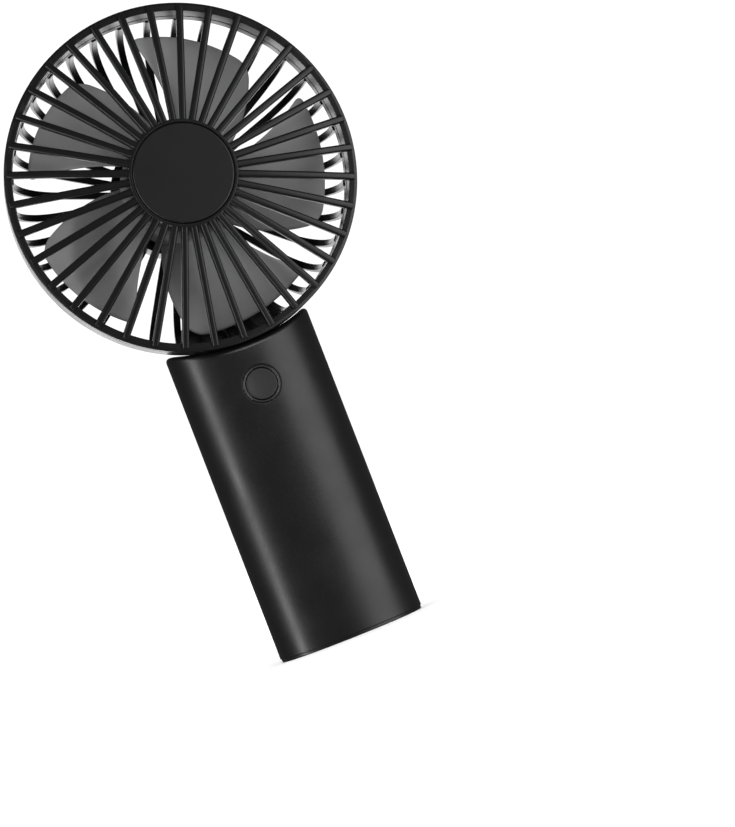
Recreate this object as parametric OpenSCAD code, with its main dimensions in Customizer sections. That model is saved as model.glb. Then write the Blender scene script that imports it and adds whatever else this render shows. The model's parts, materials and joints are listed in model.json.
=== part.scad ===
// Handheld electric fan: a guarded round head on a straight oval handle.
// Millimetres, +Z up along the handle, front of the fan towards -Y.
// The origin is the centre of the flat foot under the handle.

/* [Head] */
// Outer diameter of the guard ring
ring_d = 98; // [96:0.5:102]
// Width of the ring's front face
ring_face = 2.3; // [2.1:0.1:2.8]
// Ribs in each guard
rib_count = 36; // [24:4:36]
// Width of a front rib
front_rib_w = 2; // [1.6:0.1:2.2]
// Width of a rear rib
rear_rib_w = 2; // [1.6:0.1:2.2]
// How far the cap stands in front of the ring
cap_rise = 5.2; // [4.6:0.1:6]
// Diameter of the cap in the middle of the front guard
cap_d = 28; // [26:0.5:30]
// Depth from the ring's front face to the back of the rear guard
guard_depth = 33; // [32:0.2:34]
// Diameter of the rear guard's hub
rear_hub_d = 37.6; // [36.5:0.1:39]

/* [Impeller] */
// Number of blades
blade_count = 5; // [3:1:5]
// Diameter over the blade tips
impeller_d = 84.8; // [80:0.4:85.2]
// Diameter of the impeller's hub
hub_d = 33; // [32:0.2:34]
// Thickness of a blade
blade_t = 1.3; // [1:0.1:1.6]

/* [Handle] */
// Height of the fan's axis above the foot
axis_h = 136.2; // [135.5:0.1:140]
// Width of the handle
handle_w = 42.8; // [42:0.2:46]
// Front-to-back depth of the handle
handle_depth = 27; // [27:0.1:29]
// Thickness of the handle's wall
wall = 2; // [1.7:0.1:2]
// How far the ring's face stands in front of the handle
ring_proud = 2; // [1.8:0.1:2.4]

/* [Button] */
// Diameter of the button's cap
button_d = 8.8; // [8.2:0.1:9.2]
// Distance of the button below the fan's axis
button_drop = 61.5; // [60.5:0.5:62]

/* [Battery] */
// Diameter of the cell
cell_d = 18.4; // [18.2:0.1:18.5]
// Length of the cell
cell_l = 65; // [64.8:0.1:65.2]

/* [Hidden] */

$fn = 96;
eps = 0.05;

// Guard ring and band
ring_r = ring_d / 2;
ring_in = ring_r - ring_face;
ring_t = 2.4;
skirt_r = ring_in + 0.7;
skirt_end = 6;
band_gap = 0.1;
band_end = 10;
band_in = ring_in - 0.1;
ring_y = -handle_depth / 2 - ring_proud;

// Front guard's ribs and hub
rib_h = 2;
rib_end_gap = 0.75;
rib_proud = 0.75;
lip_t = 0.9;
lip_gap = 0.2;
lip_r = cap_d / 2 + lip_gap + lip_t;
lip_front = -cap_rise + 0.3;
cap_t = 1.8;
hub_floor_t = 1.2;
hub_floor = -cap_rise + cap_t;

// Rear guard's ribs, hub and neck
rear_rib_t = 1.6;
rear_rib_r = ring_r - 1.2;
rear_bend_r = 14;
rear_bend_depth = 20;
rear_hub_r = rear_hub_d / 2;
rear_plate_t = rear_rib_t;
rear_rim_t = 1.6;
rear_rim_h = 9.8;
panel_angle = 40;
panel_t = 1.2;
panel_inset = 0.2;
panel_end = 63;
lead_hole_r = 0.9;
lead_hole_at = 20.2;
plate_front = guard_depth - rear_plate_t;
neck_w = 18;
neck_front = 8.5;
neck_back = 18;
neck_end = 55;
trough_w = 6.8;
trough_t = 0.8;
trough_h = 2.2;
trough_floor = 0.5;

// Motor, measured back from the ring's front face
hub_r = hub_d / 2;
hub_front = 0.6;
hub_back = 21.4;
hub_wall = 1.3;
hub_plate = 1.6;
cup_r = 13;
cup_t = 0.8;
cup_front = 2.3;
cup_back = 14;
boss_r = 3;
boss_end = 5.1;
shaft_r = 1;
shaft_end = 21.8;
bearing_r = 2.5;
bearing_w = 2.5;
bearing_play = 0.03;
front_bearing_at = 6.4;
rear_bearing_at = 17.3;
tube_r = 3.4;
tube_front = 6.2;
flange_r = 12.5;
flange_at = 18.4;
flange_end = 20;
board_t = 1;
motor_board_r = 12;
magnet_t = 1.3;
magnet_front = 4.5;
magnet_back = 13.5;
stator_r = 10.4;
stator_front = 7.5;
stator_back = 13;
teeth = 6;
tooth_w = 2.2;
motor_screw_ring = 10;
motor_screw_r = 0.8;
motor_boss_r = 2.2;
motor_lead_x = 1.7;
motor_lead_y = 8;
clip_at = flange_end + 0.4;
clip_t = 0.5;
clip_groove_r = 0.7;

// Blades: angles run clockwise from the top, as seen from the front
tip_r = impeller_d / 2;
root_r = hub_r - 0.7;
tip_from = 1.6;
tip_to = 50.4;
root_from = 15.4;
root_to = 74;
tip_front = 7.8;
tip_back = 22.6;
root_front = 6;
root_back = 19.6;
corner_from = 2.2;
corner_to = 3.5;
blade_rows = 6;
blade_cols = 10;

// Handle
foot_h = 0.8;
foot_inset = 0.3;
cradle_r = ring_r + 0.12;
cradle_wall = 2;
handle_top = axis_h - 40;
section_points = 96;
inner_w = handle_w - 2 * wall;
inner_depth = handle_depth - 2 * wall;
handle_front_y = -handle_depth / 2;
upper_screw_x = 5.5;
upper_screw_z = axis_h - 52.3;
lower_screw_x = 13.8;
lower_screw_z = 20;
screw_r = 1;
screw_play = 0.15;
screw_head_r = 2;
screw_head_h = 1.4;
screw_head_play = 0.2;
upper_boss_r = 2.6;
lower_boss_r = 2.4;
upper_seat = inner_depth / 2 - 2;
lower_seat = 6.4;
lower_screw_l = 12;
neck_front_y = ring_y + neck_front;
neck_back_y = ring_y + neck_back;

// Button, switch and main board
button_z = axis_h - button_drop;
button_r = button_d / 2;
button_front = handle_front_y + 0.15;
button_t = 2.15;
button_play = 0.1;
button_travel = 0.4;
bezel_front = handle_front_y + 0.05;
bezel_r = button_r + 0.95;
bezel_groove = 0.35;
bezel_flange_r = bezel_r + 1.2;
bezel_flange_y = handle_front_y + 2.1;
bezel_back = bezel_flange_y + 1;
button_flange_r = button_r + 0.5;
button_flange_y = button_front + button_t;
button_flange_t = 0.3;
dish_depth = 0.3;
dish_r = button_r - 0.45;
board_front = handle_front_y + 5.1;
board_back = board_front + board_t;
board_w = 24;
board_z = axis_h - 69.2;
board_h = 14;
switch_w = 6;
switch_h = 1.6;
plunger_r = 1.6;
plunger_top = board_front - switch_h - button_travel - eps;
plunger_bottom = board_front - 1;
board_screw_x = 9.8;
board_screw_z = board_z + 11.5;
board_screw_r = 0.8;

// Battery and charging
cell_r = cell_d / 2;
cell_y = inner_depth / 2 - cell_r - 0.2;
cell_z = 12.6;
tab_t = 0.2;
shelf_t = 1.4;
charge_z = 4.2;
usb_w = 8.94;
usb_h = 3.2;
usb_l = 7.4;
usb_y = handle_depth / 2 - 0.9;
usb_z = charge_z + board_t + usb_h / 2;
usb_skin = 0.3;
lead_r = 0.5;

// ---- Shared shapes ----

// Puts children on the fan's axis, z running back from the ring's front face,
// x to the right and y down as seen from the front.
module on_axis(depth = 0) {
    translate([0, ring_y + depth, axis_h])
        rotate([-90, 0, 0])
            children();
}

module tube(outer, inner, from, to) {
    translate([0, 0, from])
        difference() {
            cylinder(r = outer, h = to - from);
            translate([0, 0, -1])
                cylinder(r = inner, h = to - from + 2);
        }
}

// Repeats children round the axis, the first one pointing up.
module around(count) {
    for (i = [0 : count - 1])
        rotate([0, 0, i * 360 / count - 90])
            children();
}

// Stands an outline of [radius, depth] points on the axis as a rib of width w.
module radial_rib(outline, w) {
    rotate([90, 0, 0])
        translate([0, 0, -w / 2])
            linear_extrude(w)
                polygon(outline);
}

// Oval section of the handle: an ellipse w wide and d deep.
module oval(w, d) {
    polygon([
        for (i = [0 : section_points - 1])
            let (a = 360 * i / section_points)
                [w / 2 * cos(a), d / 2 * sin(a)]
    ]);
}

// A slot with round ends, w wide and h high, standing along +Y.
module slot_along_y(w, h, l) {
    rotate([-90, 0, 0])
        linear_extrude(l) {
            square([w - h, h], center = true);
            for (side = [-1, 1])
                translate([side * (w - h) / 2, 0])
                    circle(d = h);
        }
}

// A cylinder along +Y from one y to another.
module along_y(r, from, to) {
    translate([0, from, 0])
        rotate([-90, 0, 0])
            cylinder(r = r, h = to - from);
}

// Screw with its point towards -Y: the head's underside is at y = seat.
module screw_along_y(r, head_r, head_h, seat, length) {
    difference() {
        union() {
            along_y(r, seat - length, seat + eps);
            along_y(head_r, seat, seat + head_h);
        }
        translate([0, seat + head_h, 0])
            for (turn = [0, 90])
                rotate([0, turn, 0])
                    cube([head_r * 1.2, head_h, head_r * 0.28], center = true);
    }
}

// Round lead swept along a list of points.
function unit(v) = v / norm(v);
function heading(p, i) =
    i == 0 ? unit(p[1] - p[0])
    : i == len(p) - 1 ? unit(p[i] - p[i - 1])
    : unit(unit(p[i] - p[i - 1]) + unit(p[i + 1] - p[i]));

module lead(path, r, sides = 8) {
    last = len(path) - 1;
    rings = [
        for (i = [0 : last])
            let (t = heading(path, i), u = unit(cross(t, [1, 0.01, 0.02])), v = cross(t, u))
                for (k = [0 : sides - 1])
                    path[i] + r * (cos(360 * k / sides) * u + sin(360 * k / sides) * v)
    ];
    walls = [
        for (i = [0 : last - 1])
            for (k = [0 : sides - 1])
                let (next = (k + 1) % sides)
                    [i * sides + k, (i + 1) * sides + k, (i + 1) * sides + next, i * sides + next]
    ];
    ends = [
        [for (k = [0 : sides - 1]) k],
        [for (k = [sides - 1 : -1 : 0]) last * sides + k]
    ];
    polyhedron(points = rings, faces = concat(walls, ends));
}

// ---- Head ----

// Front edge of a front rib: a shallow dome from the hub out to the ring.
function dome(r) =
    let (edge = ring_r - rib_end_gap, rise = cap_rise - 0.5 - rib_proud)
        -rib_proud - rise * (1 - pow(r / edge, 2)) / (1 - pow(lip_r / edge, 2));

module front_ring() {
    color([0.13, 0.13, 0.14])
        on_axis()
            union() {
                tube(ring_r, ring_in, 0, ring_t);
                tube(skirt_r, ring_in, ring_t - eps, skirt_end);
            }
}

// Each rib runs from the hub's lip to the ring and lies on the ring's front face.
module front_ribs() {
    steps = 6;
    radii = [for (i = [0 : steps]) lip_r + (ring_in - eps - lip_r) * i / steps];
    outline = concat(
        [for (r = radii) [r, dome(r)]],
        [[ring_r - rib_end_gap, -rib_proud], [ring_r - rib_end_gap, 0], [ring_in - eps, 0]],
        [for (i = [steps : -1 : 0]) [radii[i], dome(radii[i]) + rib_h]]
    );
    color([0.13, 0.13, 0.14])
        on_axis()
            around(rib_count)
                radial_rib(outline, front_rib_w);
}

module front_hub() {
    color([0.13, 0.13, 0.14])
        on_axis()
            union() {
                tube(lip_r, lip_r - lip_t, lip_front, hub_floor + eps);
                translate([0, 0, hub_floor])
                    cylinder(r = lip_r, h = hub_floor_t);
            }
}

module guard_cap() {
    edge = 0.4;
    color([0.15, 0.15, 0.16])
        on_axis(-cap_rise)
            union() {
                cylinder(r1 = cap_d / 2 - edge, r2 = cap_d / 2, h = edge);
                translate([0, 0, edge])
                    cylinder(r = cap_d / 2, h = cap_t - edge);
            }
}

// Point of a rear rib's oval bend as [radius, depth]: angle a runs from the side (0)
// round to the back (90), and inset is the distance inside the rib's outer surface.
function bend_point(a, inset) = [
    rear_rib_r - rear_bend_r + (rear_bend_r - inset) * cos(a),
    guard_depth - rear_bend_depth + (rear_bend_depth - inset) * sin(a)
];

function bend_points(inset) = [for (a = [0 : 9 : 90]) bend_point(a, inset)];

// Ring behind the front ring, with the tongue that the handle's halves clamp.
module rear_band() {
    color([0.12, 0.12, 0.13])
        on_axis()
            difference() {
                union() {
                    tube(ring_r, skirt_r + band_gap, ring_t + band_gap, skirt_end + band_gap + eps);
                    tube(ring_r, band_in, skirt_end + band_gap, band_end);
                    neck();
                }
                for (side = [-1, 1])
                    translate([side * upper_screw_x, axis_h - upper_screw_z, 0])
                        cylinder(r = screw_r + screw_play, h = guard_depth);
            }
}

module neck() {
    top = ring_r - 1.6;
    difference() {
        translate([-neck_w / 2, top, neck_front])
            cube([neck_w, neck_end - top, neck_back - neck_front]);
        cylinder(r = band_in, h = guard_depth);
        translate([0, 0, band_end])
            cylinder(r = rear_rib_r + eps, h = guard_depth);
    }
}

// Each rib runs back from the band, round a bend and in to the hub.
module rear_rib_set() {
    outer_side = bend_points(0);
    inner_side = bend_points(rear_rib_t);
    outline = concat(
        [[rear_rib_r, band_end]], outer_side,
        [[rear_hub_r, guard_depth], [rear_hub_r, guard_depth - rear_rib_t]],
        [for (i = [len(inner_side) - 1 : -1 : 0]) inner_side[i]],
        [[rear_rib_r - rear_rib_t, band_end]]
    );
    around(rib_count)
        radial_rib(outline, rear_rib_w);
}

module rear_ribs() {
    color([0.12, 0.12, 0.13])
        on_axis()
            rear_rib_set();
}

// Closed wall between the bottom ribs, just above the handle, with a hole for each motor lead.
module rear_panel() {
    angles = [0 : 9 : panel_end];
    outline = concat(
        [[rear_rib_r - panel_inset, band_end]],
        [for (a = angles) bend_point(a, panel_inset)],
        [for (a = angles) bend_point(panel_end - a, panel_inset + panel_t)],
        [[rear_rib_r - panel_inset - panel_t, band_end]]
    );
    color([0.12, 0.12, 0.13])
        on_axis()
            difference() {
                rotate([0, 0, 90 - panel_angle / 2])
                    rotate_extrude(angle = panel_angle)
                        polygon(outline);
                rear_rib_set();
                for (side = [-1, 1])
                    translate([side * motor_lead_x, 0, lead_hole_at])
                        rotate([-90, 0, 0])
                            cylinder(r = lead_hole_r, h = ring_r);
            }
}

// Closed back of the motor, with three screw bosses and a trough for the leads.
module rear_hub() {
    rim_front = guard_depth - rear_rim_h;
    exit_h = trough_h + 1;
    screw_hole_depth = 3;
    color([0.12, 0.12, 0.13])
        on_axis()
            difference() {
                union() {
                    translate([0, 0, plate_front])
                        cylinder(r = rear_hub_r, h = rear_plate_t);
                    tube(rear_hub_r, rear_hub_r - rear_rim_t, rim_front, plate_front + eps);
                    around(3)
                        translate([motor_screw_ring, 0, flange_end])
                            cylinder(r = motor_boss_r, h = plate_front - flange_end + eps);
                    lead_trough();
                }
                around(3)
                    translate([motor_screw_ring, 0, flange_end - 1])
                        cylinder(r = motor_screw_r, h = 1 + screw_hole_depth);
                translate([-trough_w / 2 + trough_t, rear_hub_r - 2 * rear_rim_t, plate_front - exit_h])
                    cube([trough_w - 2 * trough_t, 3 * rear_rim_t, exit_h - trough_floor]);
            }
}

// Channel in front of the bottom rib that guides the motor's leads.
module lead_trough() {
    from = rear_hub_r - 0.5;
    length = rear_rib_r - rear_bend_r - from;
    translate([-trough_w / 2, from, plate_front - trough_h])
        difference() {
            cube([trough_w, length, trough_h]);
            translate([trough_t, -1, -1])
                cube([trough_w - 2 * trough_t, length + 2, trough_h - trough_floor + 1]);
        }
}

// ---- Impeller ----

function mix(a, b, t) = a + (b - a) * t;

// How much the tip circle drops towards a corner, s being the arc distance to the edge.
function corner_drop(s, c) = s >= c ? 0 : c - sqrt(c * c - (c - s) * (c - s));

function tip_at(u) =
    let (arc = tip_r * (tip_to - tip_from) * PI / 180)
        tip_r - corner_drop(u * arc, corner_from) - corner_drop((1 - u) * arc, corner_to);

function blade_point(t, u, offset) =
    let (
        r = mix(root_r, tip_at(u), t),
        span = (r - root_r) / (tip_r - root_r),
        a = mix(mix(root_from, tip_from, span), mix(root_to, tip_to, span), u),
        front = mix(root_front, tip_front, span),
        back = mix(root_back, tip_back, span)
    )
        [r * sin(a), -r * cos(a), mix(front, back, u) + offset];

module blade() {
    cols = blade_cols + 1;
    sheet = (blade_rows + 1) * cols;
    grid = [
        for (offset = [0, blade_t])
            for (i = [0 : blade_rows])
                for (j = [0 : blade_cols])
                    blade_point(i / blade_rows, (1 - cos(180 * j / blade_cols)) / 2, offset)
    ];
    quads = [
        for (i = [0 : blade_rows - 1])
            for (j = [0 : blade_cols - 1])
                let (p = i * cols + j)
                    [p, p + cols, p + cols + 1, p + 1]
    ];
    front = [for (q = quads) each [[q[0], q[1], q[2]], [q[0], q[2], q[3]]]];
    back = [for (f = front) [f[2] + sheet, f[1] + sheet, f[0] + sheet]];
    last_row = blade_rows * cols;
    rim = concat(
        [for (j = [0 : blade_cols - 1]) [j, j + 1]],
        [for (j = [0 : blade_cols - 1]) [last_row + j + 1, last_row + j]],
        [for (i = [0 : blade_rows - 1]) [(i + 1) * cols, i * cols]],
        [for (i = [0 : blade_rows - 1]) [i * cols + blade_cols, (i + 1) * cols + blade_cols]]
    );
    edges = [
        for (e = rim)
            each [[e[0], e[1], e[1] + sheet], [e[0], e[1] + sheet, e[0] + sheet]]
    ];
    polyhedron(points = grid, faces = concat(front, back, edges));
}

module impeller() {
    edge = 1;
    sleeve_t = 1;
    color([0.45, 0.45, 0.46])
        on_axis()
            union() {
                difference() {
                    union() {
                        translate([0, 0, hub_front])
                            cylinder(r1 = hub_r - edge, r2 = hub_r, h = edge);
                        translate([0, 0, hub_front + edge])
                            cylinder(r = hub_r, h = hub_back - hub_front - edge);
                    }
                    translate([0, 0, hub_front + hub_plate])
                        cylinder(r = hub_r - hub_wall, h = hub_back);
                }
                tube(cup_r + sleeve_t, cup_r, hub_front + hub_plate - eps, cup_back - 1);
                for (i = [0 : blade_count - 1])
                    rotate([0, 0, i * 360 / blade_count])
                        blade();
            }
}

// ---- Motor ----

module rotor_cup() {
    color([0.62, 0.63, 0.65])
        on_axis()
            difference() {
                union() {
                    tube(cup_r, cup_r - cup_t, cup_front, cup_back);
                    translate([0, 0, cup_front])
                        cylinder(r = cup_r, h = cup_t);
                    translate([0, 0, cup_front])
                        cylinder(r = boss_r, h = boss_end - cup_front);
                }
                cylinder(r = shaft_r, h = cup_back);
            }
}

module magnet_ring() {
    color([0.2, 0.2, 0.22])
        on_axis()
            tube(cup_r - cup_t, cup_r - cup_t - magnet_t, magnet_front, magnet_back);
}

module motor_shaft() {
    color([0.75, 0.76, 0.78])
        on_axis()
            difference() {
                translate([0, 0, cup_front])
                    cylinder(r = shaft_r, h = shaft_end - cup_front);
                tube(shaft_r + 1, clip_groove_r, clip_at, clip_at + clip_t);
            }
}

module shaft_clip() {
    color([0.3, 0.3, 0.32])
        on_axis()
            difference() {
                tube(shaft_r + 1.1, clip_groove_r, clip_at, clip_at + clip_t);
                translate([0, -clip_groove_r * 0.7, clip_at - 1])
                    cube([shaft_r + 2, clip_groove_r * 1.4, clip_t + 2]);
            }
}

module thrust_washer() {
    washer_r = 2.2;
    washer_t = 0.6;
    color([0.9, 0.88, 0.8])
        on_axis()
            tube(washer_r, shaft_r, boss_end, boss_end + washer_t);
}

module bearing(at) {
    color([0.72, 0.62, 0.38])
        on_axis()
            tube(bearing_r, shaft_r + bearing_play, at, at + bearing_w);
}

module front_bearing() {
    bearing(front_bearing_at);
}

module rear_bearing() {
    bearing(rear_bearing_at);
}

module motor_base() {
    waist_r = bearing_r - 0.7;
    color([0.7, 0.7, 0.72])
        on_axis()
            difference() {
                union() {
                    translate([0, 0, tube_front])
                        cylinder(r = tube_r, h = flange_end - tube_front);
                    translate([0, 0, flange_at])
                        cylinder(r = flange_r, h = flange_end - flange_at);
                }
                translate([0, 0, tube_front - 1])
                    cylinder(r = bearing_r, h = front_bearing_at + bearing_w - tube_front + 1);
                cylinder(r = waist_r, h = flange_end + 1);
                translate([0, 0, rear_bearing_at])
                    cylinder(r = bearing_r, h = flange_end);
                around(3)
                    translate([motor_screw_ring, 0, 0])
                        cylinder(r = motor_screw_r + screw_play, h = flange_end + 1);
                motor_lead_holes(flange_end + 1);
            }
}

// Two holes at the bottom of the motor's flange and board for the leads.
module motor_lead_holes(h) {
    for (side = [-1, 1])
        translate([side * motor_lead_x, motor_lead_y, 0])
            cylinder(r = lead_r + screw_play, h = h);
}

module stator_core() {
    tip_t = 1.2;
    tip_half = 3.9;
    color([0.5, 0.5, 0.53])
        on_axis()
            difference() {
                union() {
                    translate([0, 0, stator_front])
                        cylinder(r = tube_r + 1.8, h = stator_back - stator_front);
                    around(teeth)
                        translate([tube_r + 1, -tooth_w / 2, stator_front])
                            cube([stator_r - tip_t - tube_r - 0.9, tooth_w, stator_back - stator_front]);
                    intersection() {
                        tube(stator_r, stator_r - tip_t, stator_front, stator_back);
                        around(teeth)
                            translate([0, -tip_half, stator_front])
                                cube([stator_r + 1, 2 * tip_half, stator_back - stator_front]);
                    }
                }
                cylinder(r = tube_r, h = stator_back + 1);
            }
}

module stator_coils() {
    winding = 1.4;
    from = tube_r + 2.3;
    length = stator_r - 1.7 - from;
    color([0.75, 0.42, 0.2])
        on_axis()
            around(teeth)
                difference() {
                    translate([from, -tooth_w / 2 - winding, stator_front - winding])
                        cube([length, tooth_w + 2 * winding, stator_back - stator_front + 2 * winding]);
                    translate([from - 1, -tooth_w / 2 - eps, stator_front - eps])
                        cube([length + 2, tooth_w + 2 * eps, stator_back - stator_front + 2 * eps]);
                }
}

module motor_board() {
    color([0.1, 0.35, 0.2])
        on_axis()
            difference() {
                tube(motor_board_r, tube_r + 0.2, flange_at - board_t, flange_at);
                around(3)
                    translate([motor_screw_ring, 0, 0])
                        cylinder(r = motor_screw_r + screw_play, h = flange_at + 1);
                motor_lead_holes(flange_at + 1);
            }
}

// Driver chip, position sensor and capacitor on the motor board.
module driver_parts() {
    top = flange_at - board_t;
    color([0.12, 0.12, 0.12])
        on_axis() {
            translate([5, -2, top - 1])
                cube([4, 4, 1]);
            translate([-8, -1.5, top - 0.8])
                cube([3, 3, 0.8]);
            translate([-5.5, 4.5, top - 0.9])
                cube([2, 1.2, 0.9]);
        }
}

module motor_screws() {
    length = 5.2;
    head_r = 1.5;
    head_h = 0.8;
    slot_l = 1.8;
    slot_w = 0.4;
    slot_d = 0.4;
    color([0.6, 0.6, 0.62])
        on_axis(flange_at - board_t)
            around(3)
                translate([motor_screw_ring, 0, 0])
                    difference() {
                        union() {
                            translate([0, 0, -eps])
                                cylinder(r = motor_screw_r, h = length + eps);
                            translate([0, 0, -head_h])
                                cylinder(r = head_r, h = head_h);
                        }
                        for (turn = [0, 90])
                            rotate([0, 0, turn])
                                translate([-slot_l / 2, -slot_w / 2, -head_h - slot_d])
                                    cube([slot_l, slot_w, 2 * slot_d]);
                    }
}

// ---- Handle ----

// The handle's outside with the round seat for the head cut in its top.
module handle_outside() {
    chamfer = 1.8;
    difference() {
        translate([0, 0, foot_h])
            linear_extrude(handle_top - foot_h)
                oval(handle_w, handle_depth);
        on_axis(-1)
            cylinder(r = cradle_r, h = handle_depth + 10);
        on_axis(ring_proud - eps)
            cylinder(r1 = cradle_r + chamfer, r2 = cradle_r - eps, h = chamfer + 2 * eps);
    }
}

module handle_inside() {
    slot_play = 0.2;
    slot_h = 6;
    lead_room = 3;
    difference() {
        linear_extrude(handle_top)
            oval(inner_w, inner_depth);
        on_axis(-1)
            cylinder(r = cradle_r + cradle_wall, h = handle_depth + 10);
    }
    on_axis(neck_front - slot_play)
        translate([-neck_w / 2 - slot_play, ring_r - 2, 0])
            cube([neck_w + 2 * slot_play, slot_h, neck_back - neck_front + slot_play + lead_room]);
}

module handle_half(side) {
    big = 300;
    intersection() {
        difference() {
            handle_outside();
            handle_inside();
        }
        translate([-big / 2, side > 0 ? 0 : -big, -1])
            cube([big, big, big]);
    }
}

// Children at the four places where the halves are screwed together.
module at_upper_screws() {
    for (side = [-1, 1])
        translate([side * upper_screw_x, 0, upper_screw_z])
            children();
}

module at_lower_screws() {
    for (side = [-1, 1])
        translate([side * lower_screw_x, 0, lower_screw_z])
            children();
}

// Trims whatever stands inside the handle to the middle of its wall.
module trimmed_to_wall() {
    intersection() {
        children();
        difference() {
            linear_extrude(handle_top)
                oval(handle_w - wall, handle_depth - wall);
            on_axis(-1)
                cylinder(r = cradle_r + cradle_wall / 2, h = handle_depth + 10);
        }
    }
}

module handle_front() {
    board_boss_r = 1.8;
    upper_hole_end = 2.6;
    board_hole = 2.4;
    groove_depth = 0.6;
    color([0.13, 0.13, 0.14])
        difference() {
            union() {
                handle_half(-1);
                trimmed_to_wall()
                    union() {
                        at_upper_screws()
                            along_y(upper_boss_r, handle_front_y, neck_front_y);
                        at_lower_screws()
                            along_y(lower_boss_r, handle_front_y, 0);
                        at_board_screws()
                            along_y(board_boss_r, handle_front_y, board_front);
                    }
            }
            at_upper_screws()
                along_y(screw_r, handle_front_y + upper_hole_end, 0);
            at_lower_screws()
                along_y(screw_r, lower_seat - lower_screw_l - 1, 1);
            at_board_screws()
                along_y(board_screw_r, board_front - board_hole, board_front + 1);
            translate([0, 0, button_z]) {
                along_y(bezel_r, handle_front_y - 1, 0);
                along_y(bezel_r + bezel_groove, handle_front_y - 1, handle_front_y + groove_depth);
                along_y(bezel_flange_r, bezel_flange_y, 0);
            }
        }
}

module handle_rear() {
    usb_play = 0.25;
    color([0.13, 0.13, 0.14])
        difference() {
            union() {
                handle_half(1);
                trimmed_to_wall()
                    union() {
                        at_upper_screws()
                            along_y(upper_boss_r, neck_back_y, handle_depth / 2);
                        at_lower_screws()
                            along_y(lower_boss_r, 0, handle_depth / 2);
                        cell_shelf();
                    }
            }
            at_upper_screws() {
                along_y(screw_r + screw_play, 0, handle_depth);
                along_y(screw_head_r + screw_head_play, upper_seat, handle_depth);
            }
            at_lower_screws() {
                along_y(screw_r + screw_play, -1, handle_depth);
                along_y(screw_head_r + screw_head_play, lower_seat, handle_depth);
            }
            translate([0, inner_depth / 2 - 1, usb_z])
                slot_along_y(usb_w + 2 * usb_play, usb_h + 2 * usb_play, handle_depth);
        }
}

// Shelf that the cell stands on.
module cell_shelf() {
    shelf_w = 16;
    translate([-shelf_w / 2, 0, cell_z - tab_t - shelf_t])
        cube([shelf_w, handle_depth / 2, shelf_t]);
}

module handle_screws() {
    color([0.25, 0.25, 0.27]) {
        at_upper_screws()
            screw_along_y(screw_r, screw_head_r, screw_head_h, upper_seat, upper_seat - handle_front_y - 3);
        at_lower_screws()
            screw_along_y(screw_r, screw_head_r, screw_head_h, lower_seat, lower_screw_l);
    }
}

module base_cap() {
    plug_top = 2.4;
    plug_play = 0.15;
    post_r = 1.4;
    post_x = 7;
    clip = [1.2, 6, 6];
    clip_inset = 2.6;
    color([0.12, 0.12, 0.13])
        union() {
            linear_extrude(foot_h)
                oval(handle_w - 2 * foot_inset, handle_depth - 2 * foot_inset);
            linear_extrude(plug_top)
                oval(inner_w - 2 * plug_play, inner_depth - 2 * plug_play);
            for (x = [-post_x, post_x])
                for (y = [-5, 4])
                    translate([x, y, 0])
                        cylinder(r = post_r, h = charge_z);
            for (side = [-1, 1])
                translate([side * (inner_w / 2 - clip_inset) - clip[0] / 2, -clip[1] / 2, 0])
                    cube(clip);
        }
}

// ---- Button and boards ----

module power_button() {
    ball_r = (dish_r * dish_r + dish_depth * dish_depth) / (2 * dish_depth);
    edge = 0.25;
    stem_r = 1.2;
    color([0.16, 0.16, 0.17])
        translate([0, 0, button_z])
            difference() {
                union() {
                    translate([0, button_front, 0])
                        rotate([-90, 0, 0])
                            cylinder(r1 = button_r - edge, r2 = button_r, h = edge);
                    along_y(button_r, button_front + edge, button_flange_y);
                    along_y(button_flange_r, button_flange_y - eps, button_flange_y + button_flange_t);
                    along_y(stem_r, button_flange_y, plunger_top);
                }
                translate([0, button_front + dish_depth - ball_r, 0])
                    sphere(r = ball_r);
            }
}

module button_bezel() {
    color([0.35, 0.35, 0.37])
        translate([0, 0, button_z])
            difference() {
                union() {
                    along_y(bezel_r, bezel_front, bezel_back);
                    along_y(bezel_flange_r, bezel_flange_y, bezel_back);
                }
                along_y(button_r + button_play, bezel_front - 1, bezel_back + 1);
                along_y(button_flange_r + 0.2, button_flange_y - 0.2, bezel_back + 1);
            }
}

module switch_plunger() {
    color([0.85, 0.85, 0.83])
        translate([0, 0, button_z])
            along_y(plunger_r, plunger_top, plunger_bottom);
}

module switch_body() {
    color([0.2, 0.2, 0.22])
        difference() {
            translate([-switch_w / 2, board_front - switch_h, button_z - switch_w / 2])
                cube([switch_w, switch_h, switch_w]);
            translate([0, 0, button_z])
                along_y(plunger_r + 0.1, board_front - 3, board_front - 0.3);
        }
}

module at_board_screws() {
    for (side = [-1, 1])
        translate([side * board_screw_x, 0, board_screw_z])
            children();
}

module main_board() {
    color([0.1, 0.35, 0.2])
        difference() {
            translate([-board_w / 2, board_front, board_z])
                cube([board_w, board_t, board_h]);
            at_board_screws()
                along_y(board_screw_r, board_front - 1, board_back + 1);
        }
}

// Controller chip, coil and capacitors on the back of the main board.
module board_parts() {
    color([0.12, 0.12, 0.12]) {
        translate([-8, board_back, board_z + 11.1])
            cube([5.2, 1, 2.6]);
        translate([-11, board_back, board_z + 5.2])
            cube([2.6, 1.8, 2.6]);
        translate([8.8, board_back, board_z + 5.2])
            cube([2, 0.8, 1.2]);
        translate([8.8, board_back, board_z + 7])
            cube([2, 0.8, 1.2]);
    }
}

module board_screws() {
    head_r = 1.4;
    head_h = 0.9;
    length = board_t + 2.2;
    color([0.6, 0.6, 0.62])
        at_board_screws()
            screw_along_y(board_screw_r, head_r, head_h, board_back, length);
}

// ---- Battery and charging ----

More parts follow.
